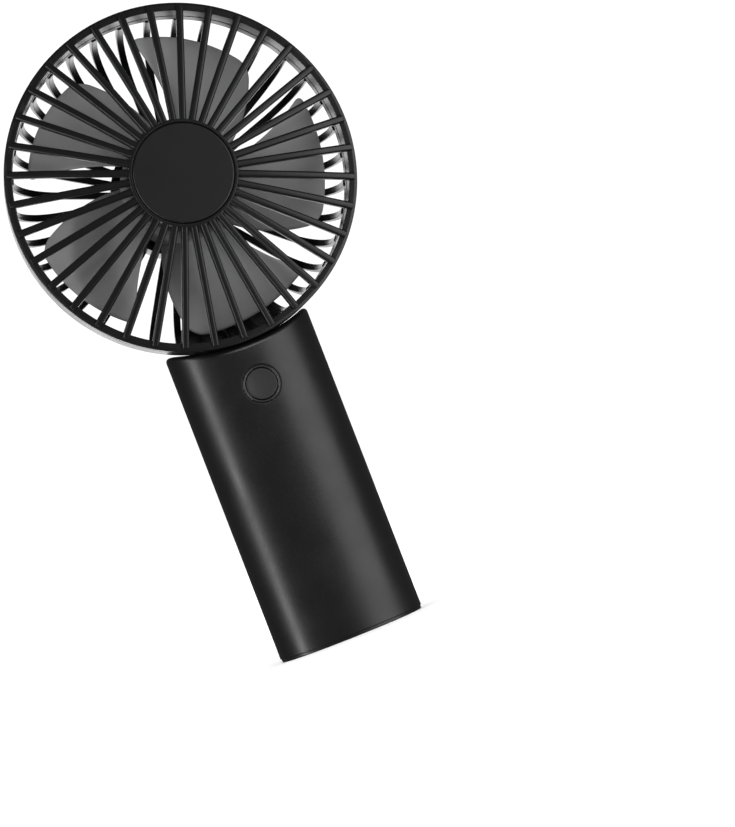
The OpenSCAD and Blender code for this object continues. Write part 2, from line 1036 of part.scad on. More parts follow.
module battery_cell() {
    button_h = 0.6;
    terminal_r = 2.9;
    color([0.2, 0.45, 0.7])
        translate([0, cell_y, cell_z])
            union() {
                cylinder(r = cell_r, h = cell_l - button_h);
                cylinder(r = terminal_r, h = cell_l);
            }
}

module battery_tabs() {
    tab_w = 6;
    lower_l = 12;
    upper_l = 8;
    color([0.8, 0.8, 0.82]) {
        translate([-tab_w / 2, cell_y - lower_l / 2, cell_z - tab_t])
            cube([tab_w, lower_l, tab_t]);
        translate([-tab_w / 2, cell_y - lower_l / 2, cell_z + cell_l])
            cube([tab_w, upper_l, tab_t]);
    }
}

module battery_pad() {
    pad = [11, 7, 40];
    pad_z = 22;
    pad_front = -inner_depth / 2 + 0.9;
    color([0.25, 0.25, 0.25])
        difference() {
            translate([-pad[0] / 2, pad_front, pad_z])
                cube(pad);
            translate([0, cell_y, cell_z])
                cylinder(r = cell_r + eps, h = cell_l);
        }
}

module charge_board() {
    board_w = 18;
    board_l = 15;
    front = -7;
    color([0.1, 0.35, 0.2])
        translate([-board_w / 2, front, charge_z])
            cube([board_w, board_l, board_t]);
}

// Charging chip, coil and capacitors.
module charge_parts() {
    top = charge_z + board_t;
    color([0.12, 0.12, 0.12]) {
        translate([-6.5, -5, top])
            cube([4, 4, 1]);
        translate([-1, -5.5, top])
            cube([4, 4, 2]);
        translate([4.5, -4.5, top])
            cube([1.2, 2, 0.8]);
    }
}

module usb_shell() {
    color([0.78, 0.79, 0.8])
        difference() {
            translate([0, usb_y - usb_l, usb_z])
                slot_along_y(usb_w, usb_h, usb_l);
            translate([0, usb_y - usb_l + usb_skin, usb_z])
                slot_along_y(usb_w - 2 * usb_skin, usb_h - 2 * usb_skin, usb_l);
        }
}

module usb_tongue() {
    back = usb_y - usb_l + usb_skin;
    block = [6.4, 1.6, 2];
    blade = [6.7, usb_l - 2.4, 0.7];
    color([0.1, 0.1, 0.1])
        union() {
            translate([-block[0] / 2, back, usb_z - block[2] / 2])
                cube(block);
            translate([-blade[0] / 2, back + 1, usb_z - blade[2] / 2])
                cube(blade);
        }
}

// ---- Leads ----

// Two leads from the motor's board, along the trough and inside the ribs' bend into the handle.
module motor_leads() {
    trough = ring_y + plate_front - trough_floor - lead_r - 0.1;
    in_bend = rear_rib_t + lead_r + 0.6;
    in_slot = neck_back_y + 1.2;
    drop = axis_h - neck_end - 1;
    start_z = axis_h - motor_lead_y;
    color([0.1, 0.1, 0.1])
        for (side = [-1, 1])
            let (x = side * motor_lead_x)
                lead(concat(
                    [
                        [x, ring_y + flange_at - board_t, start_z],
                        [x, ring_y + flange_end, start_z],
                        [x, trough - 1.6, start_z],
                        [x, trough - 0.4, start_z - 0.5],
                        [x, trough, start_z - 1.6]
                    ],
                    [
                        for (a = [90 : -15 : 30])
                            let (p = bend_point(a, in_bend))
                                [x, ring_y + p[1], axis_h - p[0]]
                    ],
                    [
                        [x, in_slot + 1, axis_h - 46],
                        [x, in_slot, axis_h - 49],
                        [x, in_slot, drop + 1],
                        [x, neck_back_y, drop + 0.2],
                        [x, neck_back_y - 2, drop],
                        [x, board_back + 1, drop],
                        [x, board_back, drop]
                    ]
                ), lead_r);
}

module battery_leads() {
    top_z = cell_z + cell_l + tab_t;
    board_top = charge_z + board_t;
    color([0.1, 0.1, 0.1]) {
        lead([
            [2.4, cell_y - 5.2, top_z],
            [2.4, cell_y - 5.2, top_z + 0.6],
            [3, cell_y - 5.8, top_z + 1.2],
            [4.2, board_back + 1.4, top_z + 1.2],
            [4.2, board_back + 0.8, top_z + 1.2],
            [4.2, board_back, top_z + 1.2]
        ], lead_r);
        lead([
            [-2.4, cell_y - 5.4, cell_z - tab_t],
            [-2.4, cell_y - 5.4, cell_z - tab_t - 1],
            [-3.4, cell_y - 5.6, cell_z - tab_t - 2.4],
            [-7.2, cell_y - 5.2, board_top + 2.4],
            [-8, cell_y - 5, board_top + 1],
            [-8, cell_y - 5, board_top]
        ], lead_r);
        for (side = [-1, 1])
            lead([
                [side * 8, -6, board_top],
                [side * 8, -6, board_top + 1],
                [side * 8.8, -6, board_top + 2.6],
                [side * 10.4, -5.4, board_top + 6],
                [side * 10.8, -5.2, board_top + 12],
                [side * 10.8, -5.2, board_z - 8],
                [side * 10.2, -5.4, board_z - 3],
                [side * 9.2, board_back + 1.6, board_z + 1.2],
                [side * 9, board_back + 0.9, board_z + 1.8],
                [side * 9, board_back, board_z + 1.8]
            ], lead_r);
    }
}

front_ring();
front_ribs();
front_hub();
guard_cap();
rear_band();
rear_ribs();
rear_panel();
rear_hub();
impeller();
rotor_cup();
magnet_ring();
motor_shaft();
shaft_clip();
thrust_washer();
front_bearing();
rear_bearing();
motor_base();
stator_core();
stator_coils();
motor_board();
driver_parts();
motor_screws();
handle_front();
handle_rear();
handle_screws();
base_cap();
power_button();
button_bezel();
switch_plunger();
switch_body();
main_board();
board_parts();
board_screws();
battery_cell();
battery_tabs();
battery_pad();
charge_board();
charge_parts();
usb_shell();
usb_tongue();
motor_leads();
battery_leads();
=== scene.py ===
import json
import math
import bmesh
import bpy
import numpy as np
from mathutils import Matrix, Vector

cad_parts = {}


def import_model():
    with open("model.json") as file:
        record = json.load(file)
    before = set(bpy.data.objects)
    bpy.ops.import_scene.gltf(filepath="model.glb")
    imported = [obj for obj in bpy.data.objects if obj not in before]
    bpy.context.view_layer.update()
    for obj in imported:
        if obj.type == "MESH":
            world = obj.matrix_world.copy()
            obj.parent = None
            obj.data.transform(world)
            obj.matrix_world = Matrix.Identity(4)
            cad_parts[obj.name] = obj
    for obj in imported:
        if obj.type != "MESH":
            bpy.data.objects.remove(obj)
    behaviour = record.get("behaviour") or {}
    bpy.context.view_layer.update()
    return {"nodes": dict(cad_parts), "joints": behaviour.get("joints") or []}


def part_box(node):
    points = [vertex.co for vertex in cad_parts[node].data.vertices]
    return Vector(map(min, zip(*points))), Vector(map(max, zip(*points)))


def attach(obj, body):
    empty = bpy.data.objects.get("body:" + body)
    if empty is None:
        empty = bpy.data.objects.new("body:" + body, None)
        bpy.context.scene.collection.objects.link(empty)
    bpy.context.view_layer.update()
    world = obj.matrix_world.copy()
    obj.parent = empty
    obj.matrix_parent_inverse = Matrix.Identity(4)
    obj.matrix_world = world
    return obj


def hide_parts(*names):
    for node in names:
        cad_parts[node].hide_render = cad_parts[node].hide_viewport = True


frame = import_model()

# Lengths are in millimetres, and Shell.mesh() turns them into metres.
MM = 0.001
NODES = frame["nodes"]
JOINTS = {joint["name"]: joint for joint in frame["joints"]}


def corners(node):
    """Lowest and highest corner of a CAD node in millimetres."""
    low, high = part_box(node)
    return low / MM, high / MM


# ---- Sizes read from the frame ----

AXIS_Z = JOINTS["rotor_spin"]["pos_m"][2] / MM
RING_LOW, RING_HIGH = corners("front_ring")
RING_R = (RING_HIGH.x - RING_LOW.x) / 2
FACE_Y = RING_LOW.y
CAP_LOW, CAP_HIGH = corners("guard_cap")
CAP_R = (CAP_HIGH.x - CAP_LOW.x) / 2
LIP_R = corners("front_hub")[1].x
LIP_FRONT = corners("front_hub")[0].y
RIB_REACH = corners("front_ribs")[1].x
RIBS_FRONT = corners("front_ribs")[0].y
BAND_END = corners("rear_ribs")[0].y
NECK_END_Z = corners("rear_band")[0].z
REAR_RIB_R = corners("rear_ribs")[1].x
REAR_HUB_R = corners("rear_hub")[1].x
GUARD_BACK = corners("rear_hub")[1].y
HANDLE_LOW, HANDLE_TOP = corners("handle_front")
HANDLE_HALF_W = HANDLE_TOP.x
HANDLE_HALF_D = -HANDLE_LOW.y
BUTTON_LOW, BUTTON_HIGH = corners("power_button")
BUTTON_Z = (BUTTON_LOW.z + BUTTON_HIGH.z) / 2
BEZEL_LOW, BEZEL_HIGH = corners("button_bezel")
USB_LOW, USB_HIGH = corners("usb_shell")
SCREWS_HIGH = corners("handle_screws")[1]

# ---- Sizes of the mouldings ----

RING_IN = RING_R - 2.3
RING_T = 2.4
SKIRT_R = RING_IN + 0.7
SKIRT_END = FACE_Y + 6
RIB_COUNT = 36
FRONT_RIB_W = 2.0
FRONT_RIB_H = 2.0
RIB_PROUD = 0.75
REAR_RIB_W = 2.0
REAR_RIB_T = 1.6
REAR_BEND_R = 14.0
REAR_BEND_DEPTH = 20.0
REAR_RIM_H = 9.8
REAR_RIM_T = 1.6
BLADE_COUNT = 5
HUB_R = 16.5
TIP_R = 42.4
NECK_HALF_W = 9.0
NECK_FRONT = FACE_Y + 8.5
NECK_BACK = FACE_Y + 18
LEAD_X = 1.7
LEAD_HOLE_R = 0.9
LEAD_HOLE_Y = FACE_Y + 20.2
CRADLE_R = math.hypot(HANDLE_TOP.x, AXIS_Z - HANDLE_TOP.z)
WALL = 2.0
CRADLE_WALL = 2.0
CRADLE_FILLET = 2.0
TURN_STEPS = 192


# ---- Mesh helpers ----

def arc(centre, radius, start, end, steps):
    """Points of an arc in a plane, angles in degrees."""
    return [
        (centre[0] + radius * math.cos(a), centre[1] + radius * math.sin(a))
        for a in np.radians(np.linspace(start, end, steps + 1))
    ]


def rounded(outline, steps=4):
    """Closed outline of (x, y, radius) corners with each corner turned into an arc."""
    points = []
    count = len(outline)
    for i, (x, y, radius) in enumerate(outline):
        here = Vector((x, y))
        before = Vector(outline[i - 1][:2]) - here
        after = Vector(outline[(i + 1) % count][:2]) - here
        if radius <= 0:
            points.append((x, y))
            continue
        before_dir, after_dir = before.normalized(), after.normalized()
        half = before_dir.angle(after_dir) / 2
        reach = min(radius / math.tan(half), 0.49 * before.length, 0.49 * after.length)
        radius = reach * math.tan(half)
        middle = here + (before_dir + after_dir).normalized() * radius / math.sin(half)
        first = here + before_dir * reach - middle
        last = here + after_dir * reach - middle
        sweep = first.angle_signed(last)
        for k in range(steps + 1):
            turn = Matrix.Rotation(-sweep * k / steps, 2)
            points.append(tuple(middle + turn @ first))
    return points


class Shell:
    """Vertices and faces of one or more closed shells."""

    def __init__(self):
        self.points = []
        self.faces = []

    def grid(self, rows, close_rows=False, close_columns=True, cap=False):
        """Adds rows of points joined by quads, with flat ends if cap is set."""
        start = len(self.points)
        width = len(rows[0])
        for row in rows:
            self.points.extend(row)
        row_span = len(rows) if close_rows else len(rows) - 1
        column_span = width if close_columns else width - 1
        for i in range(row_span):
            for j in range(column_span):
                a = start + i * width + j
                b = start + i * width + (j + 1) % width
                c = start + (i + 1) % len(rows) * width + (j + 1) % width
                d = start + (i + 1) % len(rows) * width + j
                self.faces.append((a, b, c, d))
        if cap:
            last = start + (len(rows) - 1) * width
            self.faces.append(tuple(range(start + width - 1, start - 1, -1)))
            self.faces.append(tuple(range(last, last + width)))
        return self

    def turned(self, place, count, first=0):
        """Repeats one rib, given by place(turn) -> rows, round the axis."""
        for k in range(count):
            self.grid(place(math.radians(first + 360 * k / count)), cap=True)
        return self

    def mesh(self, name):
        data = bpy.data.meshes.new(name)
        data.from_pydata([Vector(p) * MM for p in self.points], [], self.faces)
        work = bmesh.new()
        work.from_mesh(data)
        bmesh.ops.remove_doubles(work, verts=work.verts, dist=1e-7)
        bmesh.ops.dissolve_degenerate(work, edges=work.edges, dist=1e-7)
        bmesh.ops.recalc_face_normals(work, faces=work.faces)
        work.to_mesh(data)
        work.free()
        return data


def lathe(profile, x=0.0, z=AXIS_Z, steps=TURN_STEPS):
    """Closed shell turned about a line along Y. The profile is a closed outline of (radius, y)."""
    rows = []
    for k in range(steps):
        a = 2 * math.pi * k / steps
        rows.append([(x + r * math.sin(a), y, z + r * math.cos(a)) for r, y in profile])
    return Shell().grid(rows, close_rows=True)


def rod_y(radius, start, end, x=0.0, z=AXIS_Z, steps=64):
    return lathe([(0, start), (radius, start), (radius, end), (0, end)], x, z, steps)


def rod_z(radius, low, high, x, y, steps=32):
    """Upright rod."""
    turns = np.linspace(0, 2 * math.pi, steps + 1)[:-1]
    return Shell().grid([
        [(x + radius * math.cos(a), y + radius * math.sin(a), z) for a in turns]
        for z in (low, high)
    ], cap=True)


def block(low, high):
    (x0, y0, z0), (x1, y1, z1) = low, high
    return Shell().grid([
        [(x0, y0, z0), (x1, y0, z0), (x1, y1, z0), (x0, y1, z0)],
        [(x0, y0, z1), (x1, y0, z1), (x1, y1, z1), (x0, y1, z1)],
    ], cap=True)


def joined(*shells):
    """One shell list of shells that stay clear of each other."""
    whole = Shell()
    for shell in shells:
        start = len(whole.points)
        whole.points.extend(shell.points)
        whole.faces.extend(tuple(start + i for i in face) for face in shell.faces)
    return whole


def carved(base, *steps):
    """Mesh of the base after each (operation, shell) step."""
    target = bpy.data.objects.new("carving", base.mesh("carving"))
    bpy.context.scene.collection.objects.link(target)
    for operation, shell in steps:
        tool = bpy.data.objects.new("carving_tool", shell.mesh("carving_tool"))
        bpy.context.scene.collection.objects.link(tool)
        cut = target.modifiers.new("cut", "BOOLEAN")
        cut.operation = operation
        cut.solver = "MANIFOLD"
        cut.object = tool
        view = bpy.context.evaluated_depsgraph_get()
        result = bpy.data.meshes.new_from_object(target.evaluated_get(view))
        target.modifiers.clear()
        target.data = result
        bpy.data.objects.remove(tool)
    result = target.data
    bpy.data.objects.remove(target)
    return result


def new_piece(name, mesh, body, slot, replaces, sharp=32):
    """Shows a mesh as a piece that rides on a body and stands for some CAD nodes."""
    mesh.name = name
    piece = bpy.data.objects.new(name, mesh)
    bpy.context.scene.collection.objects.link(piece)
    mesh.shade_smooth()
    mesh.set_sharp_from_angle(angle=math.radians(sharp))
    mesh.materials.clear()
    mesh.materials.append(MATERIALS[slot])
    piece.modifiers.new("even_normals", "WEIGHTED_NORMAL").keep_sharp = True
    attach(piece, body)
    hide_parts(*replaces)
    return piece


# ---- Materials ----

def new_material(name):
    material = bpy.data.materials.new(name)
    material.use_nodes = True
    tree = material.node_tree
    shader = tree.nodes["Principled BSDF"]
    place = tree.nodes.new("ShaderNodeTexCoord")
    return material, tree, shader, place.outputs["Object"]


def noise(tree, place, scale, detail=2.0, stretch=(1, 1, 1)):
    """Noise with its scale in cells per millimetre."""
    mapping = tree.nodes.new("ShaderNodeMapping")
    mapping.inputs["Scale"].default_value = [s / MM for s in stretch]
    texture = tree.nodes.new("ShaderNodeTexNoise")
    texture.inputs["Scale"].default_value = scale
    texture.inputs["Detail"].default_value = detail
    tree.links.new(place, mapping.inputs["Vector"])
    tree.links.new(mapping.outputs["Vector"], texture.inputs["Vector"])
    return texture.outputs["Fac"]


def ramp(tree, value, low, high, out_low, out_high):
    """Maps a value from one range to another, clamped."""
    node = tree.nodes.new("ShaderNodeMapRange")
    node.inputs["From Min"].default_value = low
    node.inputs["From Max"].default_value = high
    node.inputs["To Min"].default_value = out_low
    node.inputs["To Max"].default_value = out_high
    tree.links.new(value, node.inputs["Value"])
    return node.outputs["Result"]


def blended(tree, factor, colour_a, colour_b):
    node = tree.nodes.new("ShaderNodeMix")
    node.data_type = "RGBA"
    for socket, value in (("A", colour_a), ("B", colour_b)):
        target = next(s for s in node.inputs if s.name == socket and s.type == "RGBA")
        if isinstance(value, bpy.types.NodeSocket):
            tree.links.new(value, target)
        else:
            target.default_value = (*value, 1)
    tree.links.new(factor, node.inputs["Factor"])
    return next(s for s in node.outputs if s.type == "RGBA")


def bump(tree, shader, height, distance, strength=1.0):
    """Adds bump of a height in millimetres on top of what the shader has."""
    node = tree.nodes.new("ShaderNodeBump")
    node.inputs["Distance"].default_value = distance * MM
    node.inputs["Strength"].default_value = strength
    tree.links.new(height, node.inputs["Height"])
    normal = shader.inputs["Normal"]
    if normal.is_linked:
        tree.links.new(normal.links[0].from_socket, node.inputs["Normal"])
    tree.links.new(node.outputs["Normal"], normal)


def edge_wear(tree):
    """0 on flat surfaces and 1 along outer edges."""
    geometry = tree.nodes.new("ShaderNodeNewGeometry")
    return ramp(tree, geometry.outputs["Pointiness"], 0.53, 0.62, 0, 1)


def plastic(name, colour, worn, rough, grain=0.012, grain_scale=3.2, specular=0.5, coat=0.0):
    """Moulded plastic: fine grain, faint cloudy smudges and paler edges."""
    material, tree, shader, place = new_material(name)
    clouds = noise(tree, place, 0.09, 3)
    specks = noise(tree, place, 1.4, 2)
    tint = ramp(tree, clouds, 0.35, 0.65, 0.0, 0.35)
    darker = [c * 0.8 for c in colour]
    base = blended(tree, tint, colour, darker)
    base = blended(tree, ramp(tree, specks, 0.62, 0.75, 0, 0.18), base, worn)
    base = blended(tree, edge_wear(tree), base, worn)
    tree.links.new(base, shader.inputs["Base Color"])
    smudge = tree.nodes.new("ShaderNodeMath")
    smudge.operation = "ADD"
    tree.links.new(ramp(tree, clouds, 0.3, 0.7, rough - 0.04, rough + 0.04), smudge.inputs[0])
    tree.links.new(ramp(tree, specks, 0.3, 0.7, -0.02, 0.02), smudge.inputs[1])
    tree.links.new(smudge.outputs["Value"], shader.inputs["Roughness"])
    bump(tree, shader, noise(tree, place, grain_scale, 1), grain)
    bump(tree, shader, noise(tree, place, 0.12, 1), 0.02)
    shader.inputs["Specular IOR Level"].default_value = specular
    shader.inputs["Coat Weight"].default_value = coat
    shader.inputs["Coat Roughness"].default_value = 0.15
    return material


def metal(name, colour, rough, brushed=(1, 1, 1), depth=0.003):
    """Metal with fine drawn lines or a sandblasted look, and uneven tarnish."""
    material, tree, shader, place = new_material(name)
    tarnish = noise(tree, place, 0.5, 3)
    base = blended(tree, ramp(tree, tarnish, 0.35, 0.7, 0, 1), colour, [c * 0.75 for c in colour])
    tree.links.new(base, shader.inputs["Base Color"])
    shader.inputs["Metallic"].default_value = 1
    tree.links.new(ramp(tree, tarnish, 0.3, 0.7, rough - 0.06, rough + 0.08), shader.inputs["Roughness"])
    bump(tree, shader, noise(tree, place, 6, 2, brushed), depth)
    return material


def winding(name, colour):
    """Enamelled wire laid in rows."""
    material, tree, shader, place = new_material(name)
    rows = tree.nodes.new("ShaderNodeTexWave")
    rows.bands_direction = "Y"
    rows.inputs["Scale"].default_value = 0.9 / MM
    rows.inputs["Distortion"].default_value = 0.4
    tree.links.new(place, rows.inputs["Vector"])
    base = blended(tree, rows.outputs["Fac"], [c * 0.35 for c in colour], colour)
    tree.links.new(base, shader.inputs["Base Color"])
    shader.inputs["Metallic"].default_value = 0.8
    tree.links.new(ramp(tree, noise(tree, place, 1.5), 0.3, 0.7, 0.28, 0.42), shader.inputs["Roughness"])
    bump(tree, shader, rows.outputs["Fac"], 0.08)
    return material


def board(name):
    """Circuit board: solder mask with faint copper tracks under it."""
    material, tree, shader, place = new_material(name)
    tracks = tree.nodes.new("ShaderNodeTexBrick")
    tracks.inputs["Scale"].default_value = 0.35 / MM
    tracks.inputs["Mortar Size"].default_value = 0.06
    tracks.inputs["Color1"].default_value = (0.012, 0.10, 0.045, 1)
    tracks.inputs["Color2"].default_value = (0.010, 0.085, 0.040, 1)
    tracks.inputs["Mortar"].default_value = (0.03, 0.19, 0.08, 1)
    tree.links.new(place, tracks.inputs["Vector"])
    tree.links.new(tracks.outputs["Color"], shader.inputs["Base Color"])
    tree.links.new(ramp(tree, noise(tree, place, 2), 0.3, 0.7, 0.3, 0.45), shader.inputs["Roughness"])
    bump(tree, shader, tracks.outputs["Fac"], 0.03)
    return material


def speckled(name, colour, other, rough, scale, depth):
    """Plain material with speckles of a second colour, such as foam or ferrite."""
    material, tree, shader, place = new_material(name)
    spots = noise(tree, place, scale, 3)
    base = blended(tree, ramp(tree, spots, 0.4, 0.65, 0, 1), colour, other)
    tree.links.new(base, shader.inputs["Base Color"])
    tree.links.new(ramp(tree, spots, 0.3, 0.7, rough - 0.05, rough + 0.05), shader.inputs["Roughness"])
    bump(tree, shader, spots, depth)
    return material


MATERIALS = {
    "black_plastic": plastic("black_plastic", (0.0075, 0.0075, 0.008), (0.020, 0.020, 0.021), 0.33),
    "grey_plastic": plastic("grey_plastic", (0.25, 0.25, 0.254), (0.31, 0.31, 0.315), 0.55, grain=0.008),
    "bezel_gloss": plastic("bezel_gloss", (0.010, 0.010, 0.011), (0.04, 0.04, 0.04), 0.20,
                           grain=0.002, coat=0.2),
    "steel": metal("steel", (0.60, 0.61, 0.62), 0.28, (1, 6, 1)),
    "dark_steel": metal("dark_steel", (0.16, 0.16, 0.17), 0.38),
    "magnet": speckled("magnet", (0.05, 0.05, 0.055), (0.09, 0.09, 0.095), 0.5, 4, 0.01),
    "bronze": metal("bronze", (0.55, 0.36, 0.17), 0.42, depth=0.01),
    "alloy": metal("alloy", (0.55, 0.55, 0.56), 0.45, depth=0.008),
    "copper": winding("copper", (0.62, 0.24, 0.10)),
    "circuit_board": board("circuit_board"),
    "chip": speckled("chip", (0.018, 0.018, 0.019), (0.03, 0.03, 0.032), 0.55, 5, 0.004),
    "nylon": speckled("nylon", (0.72, 0.70, 0.64), (0.66, 0.64, 0.58), 0.4, 1.2, 0.004),
    "cell": plastic("cell", (0.03, 0.13, 0.36), (0.10, 0.22, 0.42), 0.30, grain=0.002),
    "foam": speckled("foam", (0.03, 0.03, 0.03), (0.07, 0.07, 0.07), 0.9, 2.2, 0.2),
    "lead_insulation": plastic("lead_insulation", (0.012, 0.012, 0.012), (0.03, 0.03, 0.03), 0.42,
                               grain=0.004),
}

for node in NODES.values():
    for place in node.material_slots:
        place.material = MATERIALS[place.material.name.split(".")[0]]
    node.data.shade_smooth()
    node.data.set_sharp_from_angle(angle=math.radians(30))


# ---- Front guard ----

def on_axis(r, y, turn, side=0.0):
    """Point at a radius and depth on a spoke turned clockwise from the top, moved sideways."""
    return (
        r * math.sin(turn) + side * math.cos(turn),
        y,
        AXIS_Z + r * math.cos(turn) - side * math.sin(turn),
    )


def rib_section(half_w, front, back, front_radius, back_radius):
    """Rounded section of a rib as (sideways, y) points."""
    return rounded([
        (-half_w, front, front_radius),
        (half_w, front, front_radius),
        (half_w, back, back_radius),
        (-half_w, back, back_radius),
    ], 4)


def dome(r):
    """Front edge of a front rib, as y."""
    rise = FACE_Y - RIB_PROUD - RIBS_FRONT
    share = (1 - (r / RIB_REACH) ** 2) / (1 - (LIP_R / RIB_REACH) ** 2)
    return FACE_Y - RIB_PROUD - rise * share


def front_rib(turn):
    """Rows of one front rib, from inside the hub's lip to its square end on the ring."""
    end_round = 0.2
    start = LIP_R - 0.45
    radii = list(np.linspace(start, RIB_REACH - end_round, 22))
    rows = []
    for r in radii:
        section = rib_section(FRONT_RIB_W / 2, dome(r), dome(r) + FRONT_RIB_H, 0.65, 0.15)
        rows.append([on_axis(r, y, turn, s) for s, y in section])
    for a in (30, 60, 90):
        t = math.radians(a)
        inset = end_round * (1 - math.cos(t))
        r = RIB_REACH - end_round * (1 - math.sin(t))
        section = rib_section(FRONT_RIB_W / 2 - inset, dome(r) + inset, dome(r) + FRONT_RIB_H, 0.65, 0.15)
        rows.append([on_axis(r, y, turn, s) for s, y in section])
    return rows


def front_guard():
    ring = lathe(rounded([
        (RING_IN, FACE_Y, 0.25),
        (RING_R - 0.85, FACE_Y, 0.12),
        (RING_R, FACE_Y + 0.3, 0.3),
        (RING_R, FACE_Y + RING_T, 0.15),
        (SKIRT_R, FACE_Y + RING_T, 0),
        (SKIRT_R, SKIRT_END, 0),
        (RING_IN, SKIRT_END, 0),
    ]))
    lip_in = CAP_R + 0.2
    floor = CAP_HIGH.y
    hub = lathe(rounded([
        (0, floor, 0),
        (lip_in, floor, 0),
        (lip_in, LIP_FRONT, 0.1),
        (LIP_R, LIP_FRONT, 0.2),
        (LIP_R, floor + 1.2, 0.3),
        (0, floor + 1.2, 0),
    ]))
    ribs = Shell().turned(front_rib, RIB_COUNT)
    mesh = carved(joined(ring, hub), ("UNION", ribs))
    return new_piece("front_guard_moulding", mesh, "housing", "black_plastic",
                     ["front_ring", "front_ribs", "front_hub"])


def guard_cap():
    cap = lathe(rounded([
        (0, CAP_LOW.y, 0),
        (CAP_R, CAP_LOW.y, 0.45),
        (CAP_R, CAP_HIGH.y, 0),
        (0, CAP_HIGH.y, 0),
    ], 6))
    return new_piece("guard_cap_disc", cap.mesh("cap"), "housing", "black_plastic", ["guard_cap"])


# ---- Rear guard ----

MOTOR_SCREW_AT = 10
MOTOR_SCREWS = [
    (MOTOR_SCREW_AT * math.sin(turn), AXIS_Z + MOTOR_SCREW_AT * math.cos(turn))
    for turn in (0, 2 * math.pi / 3, 4 * math.pi / 3)
]


def rear_rib(turn):
    """Rows of one rear rib: back from the band, round the bend and in to the hub."""
    half_t = REAR_RIB_T / 2
    middle_r = REAR_RIB_R - half_t
    bend_r, bend_depth = REAR_BEND_R - half_t, REAR_BEND_DEPTH - half_t
    centre = (REAR_RIB_R - REAR_BEND_R, GUARD_BACK - REAR_BEND_DEPTH)
    path = [((middle_r, y), (1, 0)) for y in np.linspace(BAND_END - 0.6, centre[1], 3)]
    for a in np.radians(np.linspace(0, 90, 19)[1:]):
        out = Vector((math.cos(a) / bend_r, math.sin(a) / bend_depth)).normalized()
        path.append(((centre[0] + bend_r * math.cos(a), centre[1] + bend_depth * math.sin(a)), tuple(out)))
    path += [((r, GUARD_BACK - half_t), (0, 1)) for r in np.linspace(centre[0], REAR_HUB_R - 0.6, 7)[1:]]
    section = rounded([
        (-REAR_RIB_W / 2, -half_t, 0.25),
        (REAR_RIB_W / 2, -half_t, 0.25),
        (REAR_RIB_W / 2, half_t, 0.35),
        (-REAR_RIB_W / 2, half_t, 0.35),
    ], 3)
    return [
        [on_axis(r + out_r * n, y + out_y * n, turn, s) for s, n in section]
        for (r, y), (out_r, out_y) in path
    ]


def bend_point(a, inset):
    """Radius and y of a point in the ribs' bend, the angle running from the side round to the back."""
    return (
        REAR_RIB_R - REAR_BEND_R + (REAR_BEND_R - inset) * math.cos(a),
        GUARD_BACK - REAR_BEND_DEPTH + (REAR_BEND_DEPTH - inset) * math.sin(a),
    )


def rear_panel():
    """Closed wall between the bottom ribs, just above the handle."""
    inset, thick, half_angle = 0.2, 1.2, 20
    angles = np.radians(np.linspace(0, 63, 15))
    outline = [(REAR_RIB_R - inset, BAND_END - 0.4)] + [bend_point(a, inset) for a in angles]
    outline += [bend_point(a, inset + thick) for a in angles[::-1]]
    outline += [(REAR_RIB_R - inset - thick, BAND_END - 0.4)]
    return Shell().grid([
        [on_axis(radius, y, turn) for radius, y in outline]
        for turn in np.radians(np.linspace(180 - half_angle, 180 + half_angle, 33))
    ], cap=True)


